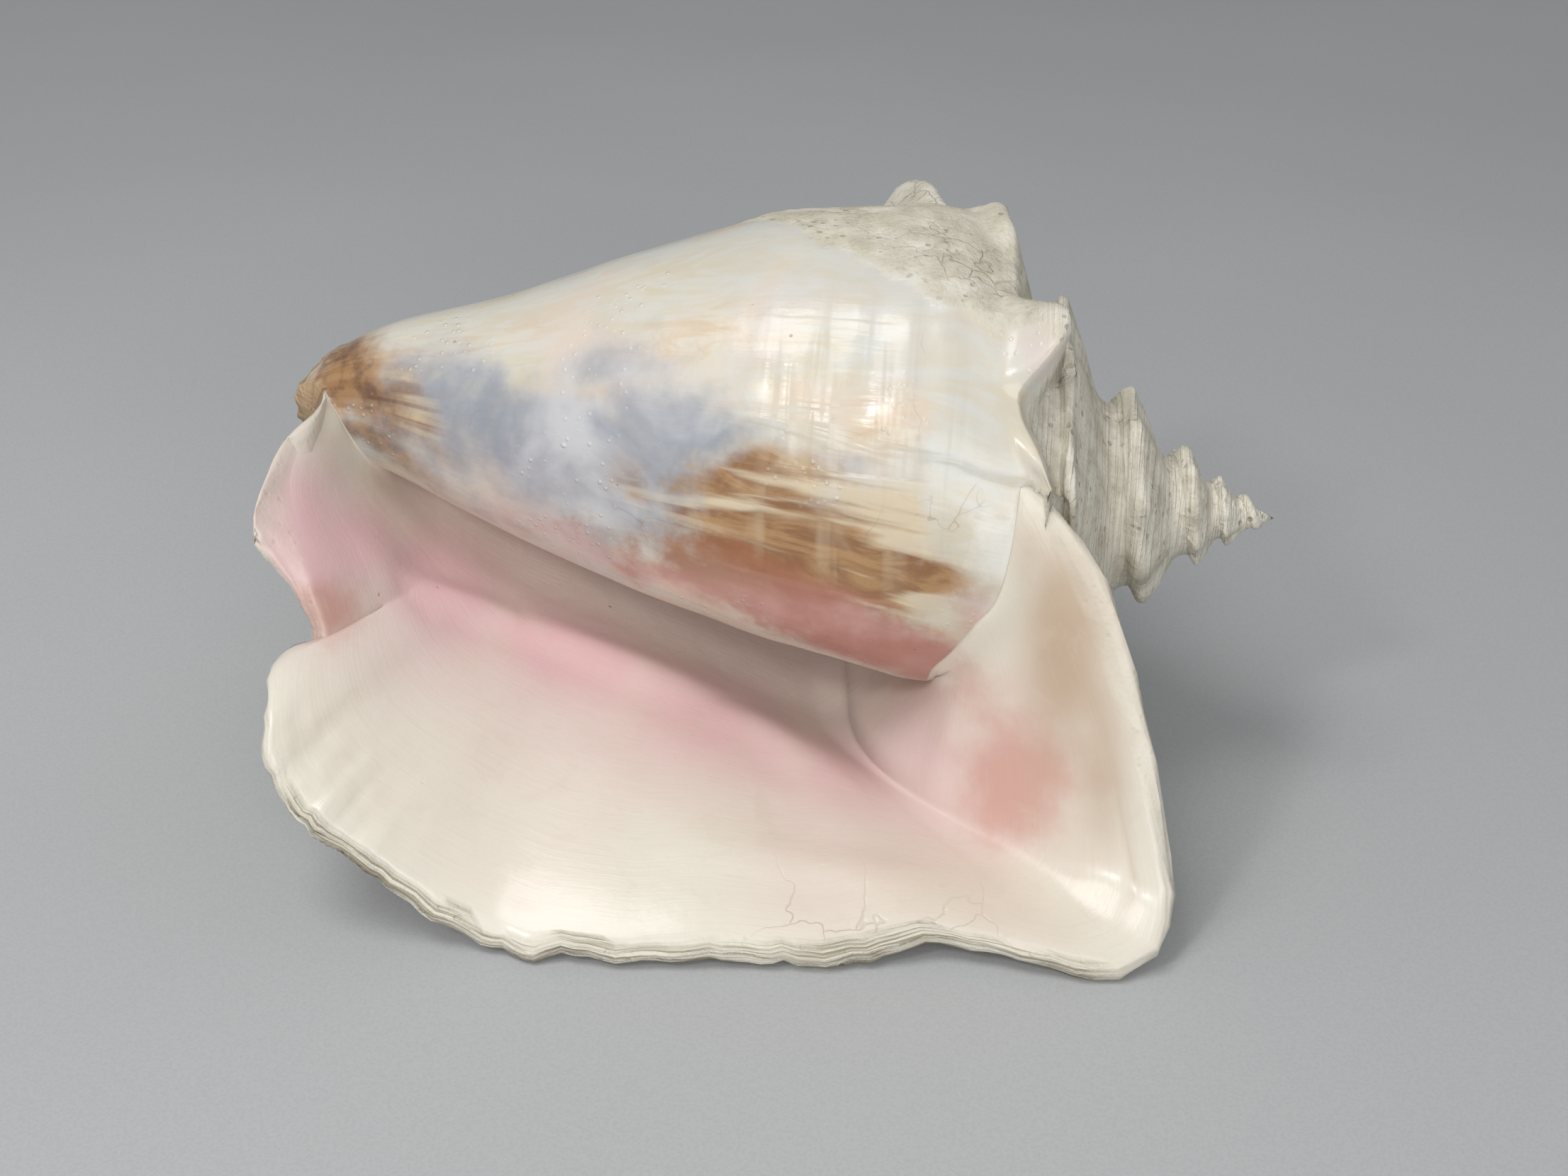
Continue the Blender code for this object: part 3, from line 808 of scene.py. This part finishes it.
class Surface:
    """Builds one node material."""

    def __init__(self, name):
        self.material = bpy.data.materials.new(name)
        self.material.use_nodes = True
        self.tree = self.material.node_tree
        self.shader = self.tree.nodes["Principled BSDF"]

    def plug(self, socket, value):
        if isinstance(value, bpy.types.NodeSocket):
            self.tree.links.new(value, socket)
        else:
            socket.default_value = value

    def attribute(self, name, output="Fac"):
        node = self.tree.nodes.new("ShaderNodeAttribute")
        node.attribute_name = name
        return node.outputs[output]

    def place(self, scale=(1, 1, 1), source=None):
        node = self.tree.nodes.new("ShaderNodeMapping")
        if source is None:
            source = self.tree.nodes.new("ShaderNodeTexCoord").outputs["Object"]
        self.plug(node.inputs["Vector"], source)
        node.inputs["Scale"].default_value = scale
        return node.outputs["Vector"]

    def noise(self, scale, detail=4.0, rough=0.55, vector=None, distortion=0.0):
        node = self.tree.nodes.new("ShaderNodeTexNoise")
        self.plug(node.inputs["Vector"], self.place() if vector is None else vector)
        node.inputs["Scale"].default_value = scale
        node.inputs["Detail"].default_value = detail
        node.inputs["Roughness"].default_value = rough
        node.inputs["Distortion"].default_value = distortion
        return node.outputs["Fac"]

    def cells(self, scale, feature, vector=None):
        node = self.tree.nodes.new("ShaderNodeTexVoronoi")
        node.feature = feature
        self.plug(node.inputs["Vector"], self.place() if vector is None else vector)
        node.inputs["Scale"].default_value = scale
        return node.outputs["Distance"]

    def between(self, value, low, high, bottom=0.0, top=1.0):
        node = self.tree.nodes.new("ShaderNodeMapRange")
        node.interpolation_type = "SMOOTHSTEP"
        self.plug(node.inputs["Value"], value)
        ends = {"From Min": low, "From Max": high, "To Min": bottom, "To Max": top}
        for name, number in ends.items():
            node.inputs[name].default_value = number
        return node.outputs["Result"]

    def combine(self, kind, first, second):
        node = self.tree.nodes.new("ShaderNodeMath")
        node.operation = kind
        self.plug(node.inputs[0], first)
        self.plug(node.inputs[1], second)
        return node.outputs[0]

    def add(self, first, second):
        return self.combine("ADD", first, second)

    def take(self, first, second):
        return self.combine("SUBTRACT", first, second)

    def times(self, first, second):
        return self.combine("MULTIPLY", first, second)

    def most(self, first, second):
        return self.combine("MAXIMUM", first, second)

    def mix(self, share, first, second):
        node = self.tree.nodes.new("ShaderNodeMix")
        node.data_type = "RGBA"
        self.plug(node.inputs["Factor"], share)
        self.plug(node.inputs[6], first)
        self.plug(node.inputs[7], second)
        return node.outputs[2]

    def blend(self, share, first, second):
        node = self.tree.nodes.new("ShaderNodeMix")
        self.plug(node.inputs["Factor"], share)
        self.plug(node.inputs[2], first)
        self.plug(node.inputs[3], second)
        return node.outputs[0]

    def patch(self, name, low, high, spread, scale):
        """A mark with an irregular outline."""
        stir = self.between(self.noise(scale, 5.0, 0.6), 0.25, 0.75, -spread, spread)
        return self.between(self.add(self.attribute(name), stir), low, high)

    def stain(self, base, colour, share, name, low, high, spread, scale=90.0):
        return self.mix(self.times(self.patch(name, low, high, spread, scale), share), base, colour)

    def specks(self, scale, small, large, spacing, low, high):
        """Small round dots, gathered in places."""
        dots = self.between(self.cells(scale, "F1"), small, large, 1.0, 0.0)
        return self.times(dots, self.between(self.noise(spacing, 2.0), low, high))

    def veins(self, scale, width, vector):
        return self.between(self.cells(scale, "DISTANCE_TO_EDGE", vector), 0.0, width, 1.0, 0.0)

    def bent_place(self):
        """Positions stirred a little, so that straight lines wander."""
        node = self.tree.nodes.new("ShaderNodeVectorMath")
        node.operation = "ADD"
        self.plug(node.inputs[0], self.place())
        self.plug(node.inputs[1], self.times(self.noise(60.0, 3.0, 0.6), 0.02))
        return node.outputs[0]


class ShellTextures:
    """The irregular values that the shell's colours and its fine relief share."""

    def __init__(self, s):
        grain = s.attribute("grain", "Vector")
        self.inside = s.attribute("inside")
        self.lines = s.noise(1.0, 3.0, 0.6, s.place((0.09, 0.8, 0.4), grain), 0.6)
        self.streaks = s.noise(1.0, 5.0, 0.6, s.place((0.04, 0.12, 0.4), grain), 1.6)
        self.bands = s.noise(1.0, 2.0, 0.5, s.place((0.17, 0.012, 0.4), grain), 0.3)
        self.growth = s.noise(1.0, 3.0, 0.5, s.place((0.018, 0.17, 0.4), grain), 0.4)
        self.layers = s.noise(1.0, 4.0, 0.65, s.place((0.03, 0.03, 0.45), grain), 0.3)
        self.clouds = s.noise(26.0, 4.0, 0.5)
        self.mottle = s.noise(140.0, 5.0, 0.6)
        self.grit = s.noise(900.0, 4.0, 0.65)
        self.marble = s.noise(36.0, 4.0, 0.55, None, 0.3)
        cords = s.noise(1.0, 2.0, 0.5, s.place((1.5, 0.012, 0.0), grain))
        self.cords = s.times(s.between(cords, 0.42, 0.6), s.attribute("spire"))
        bent = s.bent_place()
        cracked = s.between(s.noise(30.0, 2.0, 0.5), 0.42, 0.58)
        self.cracks = s.times(s.veins(130.0, 0.05, bent), s.times(cracked, s.attribute("crazed")))
        hair = s.times(s.veins(42.0, 0.012, bent), s.times(self.inside, cracked))
        self.hair = s.times(hair, s.attribute("brittle"))
        self.scratches = s.times(s.veins(26.0, 0.006, bent), s.between(self.clouds, 0.52, 0.6))
        self.pits = s.specks(380.0, 0.12, 0.3, 90.0, 0.42, 0.58)
        self.pins = s.specks(120.0, 0.03, 0.055, 45.0, 0.52, 0.6)
        self.pimples = s.specks(460.0, 0.08, 0.3, 38.0, 0.56, 0.66)


def front_color(s, t):
    """Glossy front of the body whorl."""
    color = s.mix(s.between(t.streaks, 0.38, 0.62), tone(212, 209, 198), tone(211, 201, 179))
    # Bluish-white, tan and pink patches over the callus: painted pearly sheen, laid on tint that
    # varies at random.
    pearly_sheen_tint = s.between(s.noise(24.0, 3.0, 0.5, None, 0.4), 0.35, 0.65)
    color = s.mix(s.times(pearly_sheen_tint, 0.5), color, tone(206, 210, 210))
    tan = s.between(s.noise(33.0, 3.0, 0.5, None, 0.5), 0.5, 0.66, 0.0, 0.5)
    color = s.mix(tan, color, tone(222, 200, 176))
    flush = s.between(s.noise(19.0, 3.0, 0.5, None, 0.5), 0.52, 0.7, 0.0, 0.55)
    color = s.mix(flush, color, tone(219, 201, 196))
    peach = s.mix(s.between(t.streaks, 0.42, 0.6), tone(228, 212, 182), tone(214, 176, 130))
    color = s.stain(color, peach, 0.6, "peach", 0.25, 1.0, 0.3, 50.0)
    blue = s.mix(s.between(t.marble, 0.44, 0.72), tone(140, 146, 159), tone(198, 200, 205))
    color = s.stain(color, blue, 0.88, "blue", 0.15, 0.8, 0.3, 38.0)
    amber = s.mix(s.between(t.streaks, 0.38, 0.62), tone(140, 96, 56), tone(176, 136, 92))
    # Pale lines in the amber: along the ripples they are painted highlights; the growth lines and
    # marbling are the shell's own pale streaks.
    ripples = s.times(s.attribute("ripple"), 0.45)
    pale_streaks_and_glints = s.times(s.between(t.bands, 0.5, 0.68), ripples)
    pale_streaks_and_glints = s.most(pale_streaks_and_glints, s.times(s.between(t.growth, 0.48, 0.62), 0.85))
    pale_streaks_and_glints = s.most(pale_streaks_and_glints, s.times(s.between(t.marble, 0.5, 0.66), 0.45))
    amber = s.mix(pale_streaks_and_glints, amber, tone(224, 209, 180))
    color = s.stain(color, amber, 0.96, "amber", 0.2, 0.7, 0.28, 45.0)
    color = s.stain(color, tone(156, 98, 64), 0.85, "ochre", 0.2, 0.8, 0.25)
    rose = s.mix(s.between(t.marble, 0.4, 0.65), tone(178, 120, 108), tone(204, 158, 150))
    color = s.stain(color, rose, 0.92, "rose", 0.15, 0.8, 0.15)
    color = s.mix(s.patch("pale", 0.3, 0.8, 0.3, 90.0), color, tone(228, 225, 216))
    orange = s.mix(s.between(t.growth, 0.4, 0.62), tone(144, 100, 56), tone(212, 188, 146))
    color = s.stain(color, orange, 0.88, "orange", 0.15, 1.0, 0.35, 55.0)
    brown = s.mix(s.between(t.mottle, 0.4, 0.6), tone(104, 70, 46), tone(158, 118, 78))
    color = s.stain(color, brown, 0.88, "brown", 0.2, 1.0, 0.3, 60.0)
    color = s.mix(s.times(t.scratches, 0.4), color, tone(140, 128, 112))
    return s.mix(s.times(t.pimples, 0.3), color, tone(238, 234, 226))


def mouth_color(s, t):
    """Mouth and inner face of the lip."""
    color = s.mix(s.between(t.clouds, 0.35, 0.65), tone(226, 220, 205), tone(225, 214, 201))
    color = s.mix(s.times(s.attribute("margin"), 0.5), color, tone(228, 224, 210))
    for shade, *stain in MOUTH_STAINS:
        color = s.stain(color, tone(*shade), *stain)
    # Paler pink towards the deep hollow: painted light, which brightens the throat against the shade
    # that falls there.
    color = s.mix(s.times(s.attribute("deep"), 0.85), color, tone(243, 221, 213))
    color = s.mix(s.between(t.lines, 0.45, 0.75, 0.0, 0.14), color, tone(206, 190, 172))
    dim = s.between(s.noise(70.0, 5.0, 0.65, None, 1.0), 0.5, 0.72, 0.0, 0.3)
    return s.mix(dim, color, tone(214, 200, 184))


def chalk_color(s, t):
    """Chalky back, knobs, spire and broken margin."""
    color = s.mix(s.between(t.clouds, 0.35, 0.65), tone(216, 211, 196), tone(217, 209, 188))
    # The spire painted paler: painted light, which lifts the shade that falls on the spire.
    color = s.mix(s.times(s.attribute("spire"), 0.5), color, tone(234, 230, 218))
    color = s.mix(s.times(s.attribute("crazed"), 0.3), color, tone(190, 185, 168))
    color = s.mix(s.between(t.mottle, 0.44, 0.68, 0.0, 0.65), color, tone(184, 177, 159))
    color = s.mix(s.between(t.grit, 0.52, 0.75, 0.0, 0.5), color, tone(166, 158, 142))
    color = s.mix(s.between(t.lines, 0.55, 0.75, 0.0, 0.2), color, tone(166, 156, 136))
    color = s.mix(s.times(t.cords, 0.3), color, tone(174, 166, 150))
    light = s.times(s.between(t.mottle, 0.3, 0.5, 1.0, 0.0), 0.7)
    color = s.mix(light, color, tone(228, 224, 211))
    color = s.mix(s.times(t.pits, 0.45), color, tone(140, 132, 116))
    color = s.mix(s.times(t.cracks, 0.22), color, tone(160, 150, 130))
    margin = s.mix(s.between(t.layers, 0.42, 0.62), tone(230, 225, 210), tone(160, 150, 130))
    color = s.mix(s.attribute("edge"), color, margin)
    return s.stain(color, tone(180, 138, 90), 0.8, "orange", 0.25, 0.8, 0.3)


def fine_relief(s, t, matt):
    """The normal of the small relief that the mesh is too coarse for."""
    rough = s.add(t.grit, s.times(t.mottle, 1.2))
    rough = s.take(rough, s.times(t.cracks, 0.7))
    rough = s.add(rough, s.times(t.layers, s.attribute("edge")))
    rough = s.take(rough, s.times(t.cords, 0.5))
    rough = s.take(rough, s.times(t.pits, 0.8))
    smooth = s.add(s.times(s.noise(110.0, 4.0), 0.4), s.times(t.lines, 0.12))
    smooth = s.add(smooth, s.times(t.pimples, s.between(t.inside, 0.0, 1.0, 0.5, 0.0)))
    waves = s.add(s.between(t.bands, 0.42, 0.68), s.between(t.growth, 0.42, 0.64))
    smooth = s.add(smooth, s.times(waves, s.times(s.attribute("ripple"), 0.8)))
    smooth = s.take(smooth, s.times(s.add(t.hair, t.pins), 0.35))
    node = s.tree.nodes.new("ShaderNodeBump")
    node.inputs["Strength"].default_value = BUMP_STRENGTH
    node.inputs["Distance"].default_value = BUMP_DISTANCE
    s.plug(node.inputs["Height"], s.blend(matt, smooth, rough))
    return node.outputs["Normal"]


def shell_surface():
    s = Surface("shell_calcite")
    t = ShellTextures(s)
    matt = s.attribute("matt")
    color = s.mix(t.inside, front_color(s, t), mouth_color(s, t))
    color = s.mix(s.times(t.hair, 0.25), color, tone(170, 152, 132))
    color = s.mix(s.times(t.pins, 0.5), color, tone(140, 118, 96))
    s.plug(s.shader.inputs["Base Color"], s.mix(matt, color, chalk_color(s, t)))
    gloss = s.between(s.noise(75.0, 4.0, 0.6), 0.3, 0.7, *GLOSS_ROUGHNESS)
    gloss = s.blend(t.inside, gloss, s.between(t.clouds, 0.3, 0.7, *MOUTH_ROUGHNESS))
    dull = s.between(t.grit, 0.3, 0.7, *CHALK_ROUGHNESS)
    s.plug(s.shader.inputs["Roughness"], s.blend(matt, gloss, dull))
    s.plug(s.shader.inputs["Coat Weight"], s.between(matt, 0.0, 0.8, COAT, 0.0))
    s.shader.inputs["Coat Roughness"].default_value = COAT_ROUGHNESS
    s.plug(s.shader.inputs["Normal"], fine_relief(s, t, matt))
    return s.material


def floor_surface():
    s = Surface("grey_card")
    speckle = s.noise(1400.0, 2.0, 0.6)
    clouds = s.noise(3.0, 2.0)
    color = s.mix(s.between(clouds, 0.3, 0.7), tone(178, 180, 181), tone(183, 185, 186))
    color = s.mix(s.between(speckle, 0.35, 0.7, 0.0, 0.35), color, tone(166, 168, 169))
    s.plug(s.shader.inputs["Base Color"], color)
    s.plug(s.shader.inputs["Roughness"], s.between(speckle, 0.3, 0.7, 0.75, 0.9))
    return s.material


def build_floor():
    mesh = bpy.data.meshes.new("floor")
    corners = [(-1, -1), (1, -1), (1, 1), (-1, 1)]
    mesh.from_pydata([(x * FLOOR_HALF, y * FLOOR_HALF, FLOOR_LEVEL) for x, y in corners],
                     [], [(0, 1, 2, 3)])
    floor = bpy.data.objects.new("floor", mesh)
    floor.data.materials.append(floor_surface())
    bpy.context.scene.collection.objects.link(floor)


def area_light(name, place, size, energy, color):
    data = bpy.data.lights.new(name, "AREA")
    data.shape = "DISK"
    data.size = size
    data.energy = energy
    data.color = color
    lamp = bpy.data.objects.new(name, data)
    lamp.location = place
    lamp.rotation_euler = (Vector(LIGHT_TARGET) - Vector(place)).to_track_quat("-Z", "Y").to_euler()
    bpy.context.scene.collection.objects.link(lamp)


def build_lights():
    for light in LIGHTS:
        area_light(*light)
    world = bpy.data.worlds.new("studio")
    world.use_nodes = True
    background = world.node_tree.nodes["Background"]
    background.inputs["Color"].default_value = SKY_COLOR
    background.inputs["Strength"].default_value = SKY_STRENGTH
    bpy.context.scene.world = world


def build_camera():
    right = Vector((1, 0, 0))
    up = Vector((0, math.sin(LOOK_DOWN), math.cos(LOOK_DOWN)))
    away = Vector((0, math.cos(LOOK_DOWN), -math.sin(LOOK_DOWN)))
    place = (Vector(LOOK_AT) - LOOK_DISTANCE * away) * MM
    data = bpy.data.cameras.new("camera")
    data.sensor_width = SENSOR_WIDTH
    data.lens = LENS
    data.clip_start = CLIP_START
    camera = bpy.data.objects.new("camera", data)
    camera.matrix_world = Matrix((
        (right.x, up.x, -away.x, place.x),
        (right.y, up.y, -away.y, place.y),
        (right.z, up.z, -away.z, place.z),
        (0, 0, 0, 1),
    ))
    bpy.context.scene.collection.objects.link(camera)
    bpy.context.scene.camera = camera


def main():
    shell = build_shell()
    shell.data.materials.append(shell_surface())
    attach(shell, "root")
    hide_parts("shell")
    build_floor()
    build_lights()
    build_camera()
    bpy.context.scene.view_settings.view_transform = "Standard"


main()
